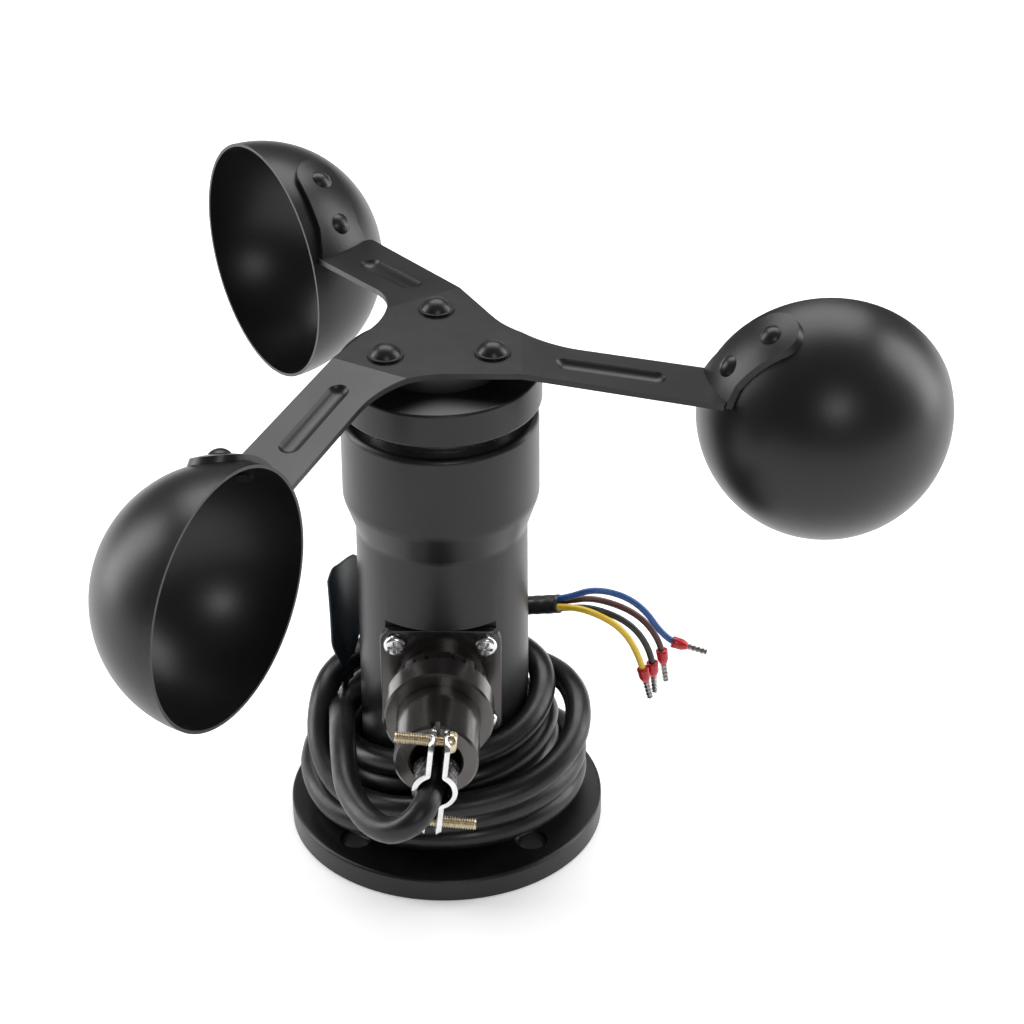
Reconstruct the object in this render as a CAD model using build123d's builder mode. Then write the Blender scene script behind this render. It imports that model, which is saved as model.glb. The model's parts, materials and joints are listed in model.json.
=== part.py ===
from build123d import *
import os
from math import cos, pi, radians, sin, sqrt, tan

# Cup anemometer, in millimetres. The origin is the centre of the foot's mounting face, +Z is the rotor
# shaft and the connector points along -Y.

# ---- Overall sizes ----
base_radius = 40.0
base_thickness = 6.5
body_radius = 21.3
body_wall = 2.8
lower_length = 82.0
cone_length = 8.9
collar_radius = body_radius + 3.0
collar_wall = 4.3
collar_length = 22.1
foot_height = 9.0
foot_bore_radius = 12.6

# ---- Foot ----
mount_circle_radius = 31.5
mount_hole_radius = 3.5
mount_hole_count = 4
base_screw_circle = 17.0
base_screw_count = 4
base_screw_radius = 2.0
base_screw_length = 13.0
seal_circle_radius = 14.1
seal_cord_radius = 0.7

# ---- Rotor head ----
skirt_gap = 3.95
skirt_radius = collar_radius + 0.75
skirt_wall = 2.75
skirt_height = 8.85
skirt_roof = 2.8
hub_slope_rise = 1.7
boss_radius = skirt_radius - 8.05
boss_height = 3.8
hub_screw_circle = boss_radius - 2.2
hub_screw_radius = 1.5
hub_screw_angle = -28.0
hub_screw_depth = 7.0
hub_screw_flange_radius = 4.4
hub_screw_flange_height = 0.7
hub_screw_dome_radius = 3.7
hub_screw_dome_height = 2.3

# ---- Bearings, shaft and sensor ----
shaft_radius = 4.0
bearing_radius = 11.0
bearing_width = 7.0
race_wall = 1.52
ball_radius = (bearing_radius - shaft_radius) / 2 - race_wall
ball_count = 7
neck_radius = bearing_radius + 8.0
neck_clearance = 1.5
neck_lip = 2.5
carrier_depth = 27.5
lower_seat = 5.0
circlip_thickness = 1.0
shaft_tail = 4.0
magnet_radius = 3.0
magnet_height = 2.5
magnet_gap = 1.2
board_radius = 17.0
board_thickness = 1.6
standoff_circle = 14.0

# ---- Spider and cups ----
arm_count = 3
rotor_rest_angle = 1.8
plate_thickness = 1.5
plate_reach = 20.0
arm_width = 17.2
arm_offset = 10.2
arm_droop = 10.0
arm_fillet = 24.0
tab_width = 12.4
tab_top_angle = 76.0
cup_radius = 31.4
cup_wall = 0.8
cup_circle_radius = cup_radius + 62.3
cup_drop = cup_radius - 10.2
groove_middle = 21.5
groove_length = 27.0
groove_width = 5.4
groove_depth = 1.5
rivet_angles = (37.5, 61.5)
rivet_radius = 1.4
rivet_head_radius = 2.75
rivet_head_height = 1.3
rivet_tail_radius = 2.0

# ---- Connector ----
port_height = 52.5
port_seat = 16.3
barrel_radius = 10.9
port_flange_size = 2 * barrel_radius + 8.2
port_flange_thickness = 2.0
port_screw_spacing = port_flange_size - 7.6
port_screw_radius = 1.5
port_screw_length = 6.0
gasket_thickness = 0.5
barrel_length = 11.2
ring_radius = barrel_radius + 2.6
ring_length = 12.5
ring_lip = 1.5
ring_wall = 2.0
lock_turn = 110.0
shell_radius = barrel_radius - 0.6
shell_length = 17.5
cable_radius = 3.3
clamp_depth = 9.0
clamp_strip = 1.4
clamp_screw_offset = 11.75
clamp_screw_radius = 1.5
clamp_screw_length = 13.4
clamp_head_radius = 2.7
clamp_head_height = 1.9
clamp_lean = -6.0
cable_exit_drop = 2.3
pin_circle = 4.5
pin_radius = 0.8
pin_count = 4
bayonet_count = 3
bayonet_pin_radius = 0.8

# ---- Cable, cores and tag ----
coil_gap = 0.7
coil_outer = 37.6
coil_top = 36.4
core_radius = 0.85
core_lay = 1.22
sleeve_radius = 2.45
sleeve_wall = 0.33
sleeve_length = 14.0
sleeve_grip = 5.5
collar_end_radius = 1.5
wire_radius = 0.6
tag_thickness = 0.9

# ---- Clearances ----
slip = 0.05
running = 0.05
bayonet_play = 0.1

# ---- Heights worked out from the sizes above ----
body_bottom = base_thickness
foot_top = body_bottom + foot_height
cone_bottom = body_bottom + lower_length
cone_top = cone_bottom + cone_length
body_top = cone_top + collar_length
body_bore = body_radius - body_wall
collar_bore = collar_radius - collar_wall
carrier_bottom = body_top - carrier_depth
skirt_bottom = body_top + skirt_gap
skirt_top = skirt_bottom + skirt_height
skirt_bore = skirt_radius - skirt_wall
hub_ceiling = skirt_top - skirt_roof
boss_bottom = skirt_top + hub_slope_rise
plate_bottom = boss_bottom + boss_height
plate_top = plate_bottom + plate_thickness
neck_top = hub_ceiling - neck_clearance
upper_bearing_top = neck_top - neck_lip
upper_bearing_bottom = upper_bearing_top - bearing_width
lower_bearing_bottom = carrier_bottom + lower_seat
lower_bearing_top = lower_bearing_bottom + bearing_width
bearing_seat = bearing_radius + 0.02
ball_circle_radius = (shaft_radius + bearing_radius) / 2
inner_ring_radius = ball_circle_radius - ball_radius + 0.58
outer_ring_bore = ball_circle_radius + ball_radius - 0.53
race_radius = ball_radius + running
shaft_bottom = carrier_bottom - shaft_tail
magnet_bottom = shaft_bottom - magnet_height - 1.5
sensor_height = 1.0
board_top = magnet_bottom - magnet_gap - sensor_height
board_bottom = board_top - board_thickness
cup_height = plate_top - cup_drop

os.makedirs("parts", exist_ok=True)


def save(piece, name):
    """Label a finished piece and write its STEP file."""
    piece.label = name
    export_step(piece, f"parts/{name}.step")


def annulus(outer, inner):
    """A flat ring, drawn in the sketch that calls it."""
    Circle(outer)
    Circle(inner, mode=Mode.SUBTRACT)


def port(depth):
    """The plane across the connector axis, this far out from the tube's axis."""
    return Plane(origin=(0, -depth, port_height), x_dir=(1, 0, 0), z_dir=(0, -1, 0))


port_profile = Plane(origin=(0, 0, port_height), x_dir=(1, 0, 0), z_dir=(0, 0, -1))
port_axis = Axis((0, 0, port_height), (0, -1, 0))


def arm_plane(index, height=0.0):
    """A level plane whose X runs out along one arm of the spider."""
    return Plane.XY.offset(height).rotated((0, 0, rotor_rest_angle + index * 360 / arm_count))


# ---- Foot ----
with BuildPart() as base_flange:
    with BuildSketch():
        Circle(base_radius)
    extrude(amount=base_thickness)
    chamfer(base_flange.faces().sort_by(Axis.Z)[0].edges(), 0.5)
    fillet(base_flange.faces().sort_by(Axis.Z)[-1].edges(), 0.8)
    with BuildSketch(Plane.XY.offset(base_thickness)):
        with PolarLocations(mount_circle_radius, mount_hole_count, start_angle=45):
            Circle(mount_hole_radius)
    extrude(amount=-base_thickness, mode=Mode.SUBTRACT)
    hole_edges = base_flange.faces().sort_by(Axis.Z)[-1].inner_wires().edges()
    chamfer(hole_edges, 0.6)
    with BuildSketch(Plane.XY.offset(base_thickness)):
        annulus(seal_circle_radius + seal_cord_radius + slip, seal_circle_radius - seal_cord_radius - slip)
    extrude(amount=-2 * seal_cord_radius - slip, mode=Mode.SUBTRACT)
    with Locations(Plane.XY.rotated((180, 0, 0))):
        with PolarLocations(base_screw_circle, base_screw_count):
            CounterSinkHole(base_screw_radius + slip, 2 * base_screw_radius + slip, base_thickness)
save(base_flange.part, "base_flange")

with BuildPart() as base_screws:
    with BuildSketch(Plane.XZ):
        with Locations((base_screw_circle, 0)):
            Polygon(
                (0, 0),
                (2 * base_screw_radius, 0),
                (base_screw_radius, base_screw_radius),
                (base_screw_radius, base_screw_length),
                (0, base_screw_length),
                align=None,
            )
    revolve(axis=Axis((base_screw_circle, 0, 0), (0, 0, 1)))
    with BuildSketch(Plane.XY):
        with Locations((base_screw_circle, 0)):
            RegularPolygon(1.25, 6)
    extrude(amount=1.4, mode=Mode.SUBTRACT)
base_screw_group = [base_screws.part.rotate(Axis.Z, i * 360 / base_screw_count) for i in range(base_screw_count)]
save(Compound(children=base_screw_group), "base_screws")

with BuildPart() as base_o_ring:
    with BuildSketch(Plane.XZ):
        with Locations((seal_circle_radius, base_thickness - seal_cord_radius)):
            Circle(seal_cord_radius)
    revolve(axis=Axis.Z)
save(base_o_ring.part, "base_o_ring")

# ---- Housing: one turned piece, milled flat for the connector ----
with BuildPart() as body_housing:
    with BuildSketch(Plane.XZ):
        Polygon(
            (foot_bore_radius, body_bottom),
            (body_radius, body_bottom),
            (body_radius, cone_bottom),
            (collar_radius, cone_top),
            (collar_radius, body_top),
            (collar_bore, body_top),
            (collar_bore, carrier_bottom),
            (body_bore, carrier_bottom),
            (body_bore, foot_top),
            (foot_bore_radius, foot_top),
            align=None,
        )
    revolve(axis=Axis.Z)
    outer_rims = body_housing.edges().filter_by(GeomType.CIRCLE)
    fillet(outer_rims.filter_by(lambda e: abs(e.radius - collar_radius) < 0.01).sort_by(Axis.Z)[-1], 1.5)
    fillet(
        body_housing.edges().filter_by(GeomType.CIRCLE).filter_by(
            lambda e: abs(e.center().Z - cone_top) < 0.01 and abs(e.radius - collar_radius) < 0.01
        ),
        6.0,
    )
    fillet(
        body_housing.edges().filter_by(GeomType.CIRCLE).filter_by(
            lambda e: abs(e.center().Z - cone_bottom) < 0.01 and abs(e.radius - body_radius) < 0.01
        ),
        4.0,
    )
    with BuildSketch(port(port_seat)):
        Rectangle(2 * body_radius, port_flange_size + 3.2)
    extrude(amount=body_radius, mode=Mode.SUBTRACT)
    with BuildSketch(port(port_seat)):
        Circle(barrel_radius - 0.9)
        with GridLocations(port_screw_spacing, port_screw_spacing, 2, 2):
            Circle(port_screw_radius + slip)
    extrude(amount=-(port_seat - 8), mode=Mode.SUBTRACT)
    with BuildSketch(Plane.XY.offset(body_bottom)):
        with PolarLocations(base_screw_circle, base_screw_count):
            Circle(base_screw_radius + slip)
    extrude(amount=base_screw_length - base_thickness + 0.5, mode=Mode.SUBTRACT)
save(body_housing.part, "body_housing")

# ---- Bearing carrier with its neck under the rain skirt ----
carrier_groove = body_top - 5.0
with BuildPart() as bearing_carrier:
    with BuildSketch(Plane.XZ):
        Polygon(
            (bearing_seat, carrier_bottom),
            (collar_bore - slip, carrier_bottom),
            (collar_bore - slip, carrier_groove - 1.0),
            (collar_bore - 1.5, carrier_groove - 1.0),
            (collar_bore - 1.5, carrier_groove + 1.0),
            (collar_bore - slip, carrier_groove + 1.0),
            (collar_bore - slip, body_top - 1.0),
            (neck_radius, body_top - 1.0),
            (neck_radius, neck_top),
            (bearing_seat, neck_top),
            (bearing_seat, upper_bearing_top + 0.1 + circlip_thickness),
            (bearing_seat + 0.8, upper_bearing_top + 0.1 + circlip_thickness),
            (bearing_seat + 0.8, upper_bearing_top),
            (bearing_seat, upper_bearing_top),
            (bearing_seat, upper_bearing_bottom),
            (bearing_seat - 1.6, upper_bearing_bottom),
            (bearing_seat - 1.6, lower_bearing_top),
            (bearing_seat, lower_bearing_top),
            (bearing_seat, lower_bearing_bottom),
            (bearing_seat + 0.8, lower_bearing_bottom),
            (bearing_seat + 0.8, lower_bearing_bottom - 0.1 - circlip_thickness),
            (bearing_seat, lower_bearing_bottom - 0.1 - circlip_thickness),
            align=None,
        )
    revolve(axis=Axis.Z)
    with BuildSketch(Plane.XY.offset(carrier_bottom)):
        with PolarLocations(standoff_circle, 3, start_angle=30):
            Circle(1.25 + slip)
    extrude(amount=6.5, mode=Mode.SUBTRACT)
save(bearing_carrier.part, "bearing_carrier")

with BuildPart() as carrier_o_ring:
    with BuildSketch(Plane.XZ):
        with Locations((collar_bore - 0.75, carrier_groove)):
            Circle(0.7)
    revolve(axis=Axis.Z)
save(carrier_o_ring.part, "carrier_o_ring")


# ---- Bearings ----
def bearing(level, bottom):
    """One deep-groove ball bearing, written as its two rings, its balls and its cage."""
    middle = bottom + bearing_width / 2
    with BuildPart() as outer_ring:
        with BuildSketch(Plane.XY.offset(bottom)):
            annulus(bearing_radius, outer_ring_bore)
        extrude(amount=bearing_width)
        with BuildSketch(Plane.XZ):
            with Locations((ball_circle_radius, middle)):
                Circle(race_radius)
        revolve(axis=Axis.Z, mode=Mode.SUBTRACT)
    save(outer_ring.part, f"{level}_bearing_outer")
    with BuildPart() as inner_ring:
        with BuildSketch(Plane.XY.offset(bottom)):
            annulus(inner_ring_radius, shaft_radius + 0.02)
        extrude(amount=bearing_width)
        with BuildSketch(Plane.XZ):
            with Locations((ball_circle_radius, middle)):
                Circle(race_radius)
        revolve(axis=Axis.Z, mode=Mode.SUBTRACT)
    save(inner_ring.part, f"{level}_bearing_inner")
    with BuildPart(Plane.XY.offset(middle)) as balls:
        with PolarLocations(ball_circle_radius, ball_count):
            Sphere(ball_radius)
    save(balls.part, f"{level}_bearing_balls")
    with BuildPart() as cage:
        with BuildSketch(Plane.XY.offset(middle - ball_radius - 0.6)):
            annulus(ball_circle_radius + 0.85, ball_circle_radius - 0.85)
        extrude(amount=2 * (ball_radius + 0.6))
        with Locations(Plane.XY.offset(middle)):
            with PolarLocations(ball_circle_radius, ball_count):
                Cylinder(race_radius, 4.0, rotation=(0, 90, 0), mode=Mode.SUBTRACT)
    save(cage.part, f"{level}_bearing_cage")


bearing("upper", upper_bearing_bottom)
bearing("lower", lower_bearing_bottom)

circlip_levels = {
    "upper": upper_bearing_top + slip,
    "lower": lower_bearing_bottom - slip - circlip_thickness,
}
for level, bottom in circlip_levels.items():
    with BuildPart() as bearing_circlip:
        with BuildSketch(Plane.XY.offset(bottom)):
            annulus(bearing_seat + 0.7, bearing_seat - 1.2)
            with Locations((0, bearing_seat)):
                Rectangle(5.0, 4.0, mode=Mode.SUBTRACT)
        extrude(amount=circlip_thickness)
    save(bearing_circlip.part, f"{level}_bearing_circlip")

# ---- Shaft line, turning with the rotor ----
spindle_sleeve_radius = inner_ring_radius - 0.3
shaft_clip_top = lower_bearing_bottom - slip
with BuildPart() as rotor_shaft:
    with BuildSketch(Plane.XZ):
        Polygon(
            (0, shaft_bottom),
            (shaft_radius, shaft_bottom),
            (shaft_radius, shaft_clip_top - circlip_thickness - slip),
            (shaft_radius - 0.4, shaft_clip_top - circlip_thickness - slip),
            (shaft_radius - 0.4, shaft_clip_top + slip),
            (shaft_radius, shaft_clip_top + slip),
            (shaft_radius, plate_bottom - 0.4),
            (0, plate_bottom - 0.4),
            align=None,
        )
    revolve(axis=Axis.Z)
save(rotor_shaft.part, "rotor_shaft")

with BuildPart() as shaft_circlip:
    with BuildSketch(Plane.XY.offset(shaft_clip_top - circlip_thickness)):
        annulus(spindle_sleeve_radius, shaft_radius - 0.4 + slip)
        with Locations((0, shaft_radius)):
            Rectangle(3.0, 5.0, mode=Mode.SUBTRACT)
    extrude(amount=circlip_thickness)
save(shaft_circlip.part, "shaft_circlip")

with BuildPart() as bearing_spacer:
    with BuildSketch(Plane.XY.offset(lower_bearing_top)):
        annulus(spindle_sleeve_radius, shaft_radius + slip)
    extrude(amount=upper_bearing_bottom - lower_bearing_top)
save(bearing_spacer.part, "bearing_spacer")

with BuildPart() as magnet_carrier:
    with BuildSketch(Plane.XY.offset(magnet_bottom)):
        Circle(shaft_radius + 2.0)
    extrude(amount=carrier_bottom - 1.0 - magnet_bottom)
    with BuildSketch(Plane.XY.offset(shaft_bottom)):
        Circle(shaft_radius + 0.02)
    extrude(amount=shaft_tail, mode=Mode.SUBTRACT)
    with BuildSketch(Plane.XY.offset(magnet_bottom)):
        Circle(magnet_radius + 0.02)
    extrude(amount=magnet_height, mode=Mode.SUBTRACT)
save(magnet_carrier.part, "magnet_carrier")

with BuildPart() as sensor_magnet:
    with BuildSketch(Plane.XY.offset(magnet_bottom)):
        Circle(magnet_radius)
    extrude(amount=magnet_height)
    chamfer(sensor_magnet.edges().sort_by(Axis.Z)[0], 0.2)
save(sensor_magnet.part, "sensor_magnet")

# ---- Felt seal in the neck ----
with BuildPart() as felt_seal:
    seal_bottom = upper_bearing_top + 0.2 + circlip_thickness
    with BuildSketch(Plane.XY.offset(seal_bottom)):
        annulus(bearing_seat - slip, spindle_sleeve_radius + running)
    extrude(amount=neck_top - seal_bottom)
save(felt_seal.part, "felt_seal")

# ---- Sensor board under the magnet ----
with BuildPart() as sensor_board:
    with BuildSketch(Plane.XY.offset(board_bottom)):
        Circle(board_radius)
        with PolarLocations(standoff_circle, 3, start_angle=30):
            Circle(1.25 + slip, mode=Mode.SUBTRACT)
    extrude(amount=board_thickness)
save(sensor_board.part, "sensor_board")

with BuildPart() as hall_sensor:
    with BuildSketch(Plane.XY.offset(board_top)):
        Rectangle(4.4, 3.6)
    extrude(amount=sensor_height)
    chamfer(hall_sensor.faces().sort_by(Axis.Z)[-1].edges(), 0.15)
save(hall_sensor.part, "hall_sensor")

with BuildPart() as board_parts:
    with BuildSketch(Plane.XY.offset(board_top)):
        with Locations((-9, 0)):
            Rectangle(5.0, 6.0)
        with Locations((0, -8)):
            Rectangle(6.5, 3.5)
        with Locations((8.5, -2.5), (8.5, 0), (8.5, 2.5)):
            Rectangle(2.0, 1.25)
    extrude(amount=1.4)
    with BuildSketch(Plane.XY.offset(board_top)):
        with Locations((0, 9.5)):
            Circle(3.15)
    extrude(amount=6.0)
save(board_parts.part, "board_parts")

with BuildPart() as board_standoffs:
    with BuildSketch(Plane.XY.offset(board_top)):
        with PolarLocations(standoff_circle, 3, start_angle=30):
            RegularPolygon(2.5, 6)
            Circle(1.25 + slip, mode=Mode.SUBTRACT)
    extrude(amount=carrier_bottom - board_top)
save(board_standoffs.part, "board_standoffs")

with BuildPart() as board_screws:
    with BuildSketch(Plane.XY.offset(board_bottom)):
        with PolarLocations(standoff_circle, 3, start_angle=30):
            Circle(1.25)
    extrude(amount=carrier_bottom + 6.0 - board_bottom)
    with BuildSketch(Plane.XY.offset(board_bottom)):
        with PolarLocations(standoff_circle, 3, start_angle=30):
            Circle(2.3)
    extrude(amount=-1.8)
    with BuildSketch(Plane.XY.offset(board_bottom - 1.8)):
        with PolarLocations(standoff_circle, 3, start_angle=30):
            Rectangle(2.4, 0.6)
            Rectangle(0.6, 2.4)
    extrude(amount=1.0, mode=Mode.SUBTRACT)
save(board_screws.part, "board_screws")

# ---- Rotor hub: rain skirt, sloping shoulder and boss in one turned piece ----
with BuildPart() as rotor_hub:
    with BuildSketch(Plane.XZ):
        Polygon(
            (shaft_radius + 0.02, upper_bearing_top),
            (spindle_sleeve_radius, upper_bearing_top),
            (spindle_sleeve_radius, hub_ceiling),
            (skirt_bore, hub_ceiling),
            (skirt_bore, skirt_bottom),
            (skirt_radius, skirt_bottom),
            (skirt_radius, skirt_top),
            (boss_radius, boss_bottom),
            (boss_radius, plate_bottom),
            (shaft_radius + 0.02, plate_bottom),
            align=None,
        )
    revolve(axis=Axis.Z)
    skirt_rims = rotor_hub.edges().filter_by(GeomType.CIRCLE).filter_by(
        lambda e: abs(e.radius - skirt_radius) < 0.01
    )
    fillet(skirt_rims, 0.7)
    with BuildSketch(arm_plane(0, plate_bottom)):
        with PolarLocations(hub_screw_circle, arm_count, start_angle=hub_screw_angle):
            Circle(hub_screw_radius + slip)
    extrude(amount=-hub_screw_depth, mode=Mode.SUBTRACT)
save(rotor_hub.part, "rotor_hub")

# ---- Spider: a pressed plate whose three drooping arms end in tabs bent up round the cups ----
droop = radians(arm_droop)
arm_step = 360 / arm_count
tab_inner_radius = cup_radius + slip
tab_outer_radius = tab_inner_radius + plate_thickness
arm_edge_near = arm_width / 2 - arm_offset
arm_edge_far = -arm_width / 2 - arm_offset
arm_reach = cup_circle_radius - cup_radius + 6.0
arm_drop = (arm_reach - plate_reach) * tan(droop)
thickness_down_slope = plate_thickness / cos(droop)


# The groove is part of a round: its radius follows from the groove's width and depth.
groove_round = (groove_width**2 / 4 + groove_depth**2) / (2 * groove_depth)
groove_rise = groove_round - groove_depth
groove_straight = groove_length - groove_width


def on_arm(plane, index):
    """A plane given for the first arm, carried round to the one asked for."""
    return Plane(Location((0, 0, 0), (0, 0, rotor_rest_angle + index * arm_step)) * plane.location)


slope_plane = Plane(
    origin=(plate_reach, -arm_offset, plate_top),
    x_dir=(cos(droop), 0, -sin(droop)),
    z_dir=(sin(droop), 0, cos(droop)),
)
tab_middle_angle = radians(48.0)
tab_plane = Plane(
    origin=(
        cup_circle_radius - 45 * cos(tab_middle_angle),
        -arm_offset,
        cup_height + 45 * sin(tab_middle_angle),
    ),
    x_dir=(sin(tab_middle_angle), 0, cos(tab_middle_angle)),
    z_dir=(-cos(tab_middle_angle), 0, sin(tab_middle_angle)),
)
tab_circle = sqrt(tab_inner_radius**2 - arm_offset**2)
tab_end = tab_circle * sin(radians(tab_top_angle) - tab_middle_angle)
tab_side = arm_offset / tab_inner_radius
rivet_directions = [
    (-cos(radians(angle)) * sqrt(1 - tab_side**2), -tab_side, sin(radians(angle)) * sqrt(1 - tab_side**2))
    for angle in rivet_angles
]


def rivet_plane(direction, distance):
    """The plane across a rivet, this far out from the cup's centre."""
    centre = Vector(cup_circle_radius, 0, cup_height) + Vector(*direction) * distance
    return Plane(origin=centre, z_dir=direction)


spider_outline = []
for i in range(arm_count):
    turn = radians(i * arm_step)
    for x, y in ((arm_reach, arm_edge_far), (arm_reach, arm_edge_near), (plate_reach, arm_edge_near)):
        spider_outline.append((x * cos(turn) - y * sin(turn), x * sin(turn) + y * cos(turn)))

with BuildPart() as bent_sheet:
    with BuildSketch(arm_plane(0, plate_bottom)):
        RegularPolygon(plate_reach, 3, major_radius=False, rotation=60)
    extrude(amount=plate_thickness)
    for i in range(arm_count):
        with BuildSketch(on_arm(Plane.XZ.offset(-plate_reach * tan(radians(60))), i)):
            Polygon(
                (plate_reach, plate_top),
                (arm_reach, plate_top - arm_drop),
                (arm_reach, plate_top - arm_drop - thickness_down_slope),
                (plate_reach, plate_top - thickness_down_slope),
                align=None,
            )
        extrude(amount=2 * plate_reach * tan(radians(60)))

with BuildPart() as tab:
    with BuildSketch(tab_plane):
        Polygon(
            (-34, arm_width / 2),
            (-17, arm_width / 2),
            (-6, tab_width / 2),
            (tab_end - tab_width / 2, tab_width / 2),
            (tab_end - tab_width / 2, -tab_width / 2),
            (-6, -tab_width / 2),
            (-17, -arm_width / 2),
            (-34, -arm_width / 2),
            align=None,
        )
        with Locations((tab_end - tab_width / 2, 0)):
            Circle(tab_width / 2)
    extrude(amount=-45)
    with BuildSketch(Plane.XZ.offset(-60)):
        Polygon(
            (plate_reach, plate_top - thickness_down_slope),
            (plate_reach + 120, plate_top - thickness_down_slope - 120 * tan(droop)),
            (plate_reach + 120, plate_top + 80),
            (plate_reach, plate_top + 80),
            align=None,
        )
    extrude(amount=120, mode=Mode.INTERSECT)
    with Locations((cup_circle_radius, 0, cup_height)):
        Sphere(tab_outer_radius, mode=Mode.INTERSECT)
        Sphere(tab_inner_radius, mode=Mode.SUBTRACT)

with BuildPart() as spider_plate:
    with BuildSketch(arm_plane(0, plate_top - 40)):
        with BuildLine():
            FilletPolyline(*spider_outline, radius=[1.0, 1.0, arm_fillet] * arm_count, close=True)
        make_face()
    extrude(amount=60)
    add(bent_sheet.part, mode=Mode.INTERSECT)
    for i in range(arm_count):
        with BuildSketch(on_arm(slope_plane, i)):
            with Locations((groove_middle, 0.6)):
                SlotOverall(groove_length + 2, groove_width + 2)
        extrude(amount=-groove_depth - 0.8)
        with Locations(on_arm(slope_plane, i)):
            with Locations((groove_middle, 0.6, groove_rise)):
                Cylinder(groove_round, groove_straight, rotation=(0, 90, 0), mode=Mode.SUBTRACT)
            with Locations(
                (groove_middle - groove_straight / 2, 0.6, groove_rise),
                (groove_middle + groove_straight / 2, 0.6, groove_rise),
            ):
                Sphere(groove_round, mode=Mode.SUBTRACT)
        with Locations(on_arm(Plane.XY, i)):
            with Locations((cup_circle_radius, 0, cup_height)):
                Sphere(tab_inner_radius, mode=Mode.SUBTRACT)
        add(tab.part.rotate(Axis.Z, rotor_rest_angle + i * arm_step))
        for direction in rivet_directions:
            with BuildSketch(on_arm(rivet_plane(direction, cup_radius - 5), i)):
                Circle(rivet_radius + slip)
            extrude(amount=12, mode=Mode.SUBTRACT)
    with BuildSketch(arm_plane(0, plate_top)):
        with PolarLocations(hub_screw_circle, arm_count, start_angle=hub_screw_angle):
            Circle(hub_screw_radius + slip)
    extrude(amount=-plate_thickness, mode=Mode.SUBTRACT)
save(spider_plate.part, "spider_plate")


def dome(seat, radius, height):
    """A low round head: the cap of a sphere on a seat plane."""
    sphere_radius = (radius**2 + height**2) / (2 * height)
    with BuildPart(mode=Mode.PRIVATE) as cap:
        with Locations(seat.offset(height - sphere_radius)):
            Sphere(sphere_radius)
        split(bisect_by=seat, keep=Keep.TOP)
    return cap.part


flange_seat = arm_plane(0, plate_top + hub_screw_flange_height)
hub_screw_domes = []
for i in range(arm_count):
    turn = radians(hub_screw_angle + i * arm_step)
    seat_origin = flange_seat.from_local_coords((hub_screw_circle * cos(turn), hub_screw_circle * sin(turn), 0))
    hub_screw_domes.append(dome(Plane(origin=seat_origin), hub_screw_dome_radius, hub_screw_dome_height))

with BuildPart() as hub_screws:
    with BuildSketch(arm_plane(0, plate_top)):
        with PolarLocations(hub_screw_circle, arm_count, start_angle=hub_screw_angle):
            Circle(hub_screw_radius)
    extrude(amount=-plate_thickness - hub_screw_depth + 0.5)
    with BuildSketch(arm_plane(0, plate_top)):
        with PolarLocations(hub_screw_circle, arm_count, start_angle=hub_screw_angle):
            Circle(hub_screw_flange_radius)
    extrude(amount=hub_screw_flange_height)
    add(hub_screw_domes)
save(hub_screws.part, "hub_screws")

# ---- Cups: thin hemispheres that open the way the rotor turns away from ----
for i in range(arm_count):
    with BuildPart(on_arm(Plane((cup_circle_radius, 0, cup_height)), i)) as wind_cup:
        Sphere(cup_radius)
        Sphere(cup_radius - cup_wall, mode=Mode.SUBTRACT)
        split(bisect_by=on_arm(Plane.XZ, i), keep=Keep.TOP)
        for direction in rivet_directions:
            with BuildSketch(on_arm(rivet_plane(direction, cup_radius - 5), i)):
                Circle(rivet_radius + slip)
            extrude(amount=12, mode=Mode.SUBTRACT)
    save(wind_cup.part, f"wind_cup_{i + 1}")

head_seat = tab_outer_radius
tail_seat = sqrt((cup_radius - cup_wall) ** 2 - rivet_tail_radius**2) - 0.02
rivet_heads = [
    dome(on_arm(rivet_plane(direction, head_seat), i), rivet_head_radius, rivet_head_height)
    for i in range(arm_count)
    for direction in rivet_directions
]
with BuildPart() as cup_rivets:
    for i in range(arm_count):
        for direction in rivet_directions:
            with BuildSketch(on_arm(rivet_plane(direction, tail_seat), i)):
                Circle(rivet_radius)
            extrude(amount=head_seat - tail_seat)
            with BuildSketch(on_arm(rivet_plane(direction, tail_seat), i)):
                Circle(rivet_tail_radius)
            extrude(amount=-0.8)
    add(rivet_heads)
save(cup_rivets.part, "cup_rivets")

# ---- Connector receptacle on the milled flat ----
flange_back = port_seat + gasket_thickness
flange_front = flange_back + port_flange_thickness
barrel_front = flange_front + barrel_length
insert_radius = barrel_radius - 1.5
ring_back = flange_front + 4.2
bayonet_depth = ring_back + ring_lip + bayonet_pin_radius
ring_front = ring_back + ring_length
shell_front = ring_front + shell_length
ring_groove = barrel_radius + 1.1

with BuildPart() as receptacle_gasket:
    with BuildSketch(port(port_seat)):
        RectangleRounded(port_flange_size - 1.6, port_flange_size - 1.6, 2.4)
        Circle(insert_radius + 0.4, mode=Mode.SUBTRACT)
        with GridLocations(port_screw_spacing, port_screw_spacing, 2, 2):
            Circle(port_screw_radius + slip, mode=Mode.SUBTRACT)
    extrude(amount=gasket_thickness)
save(receptacle_gasket.part, "receptacle_gasket")

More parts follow.
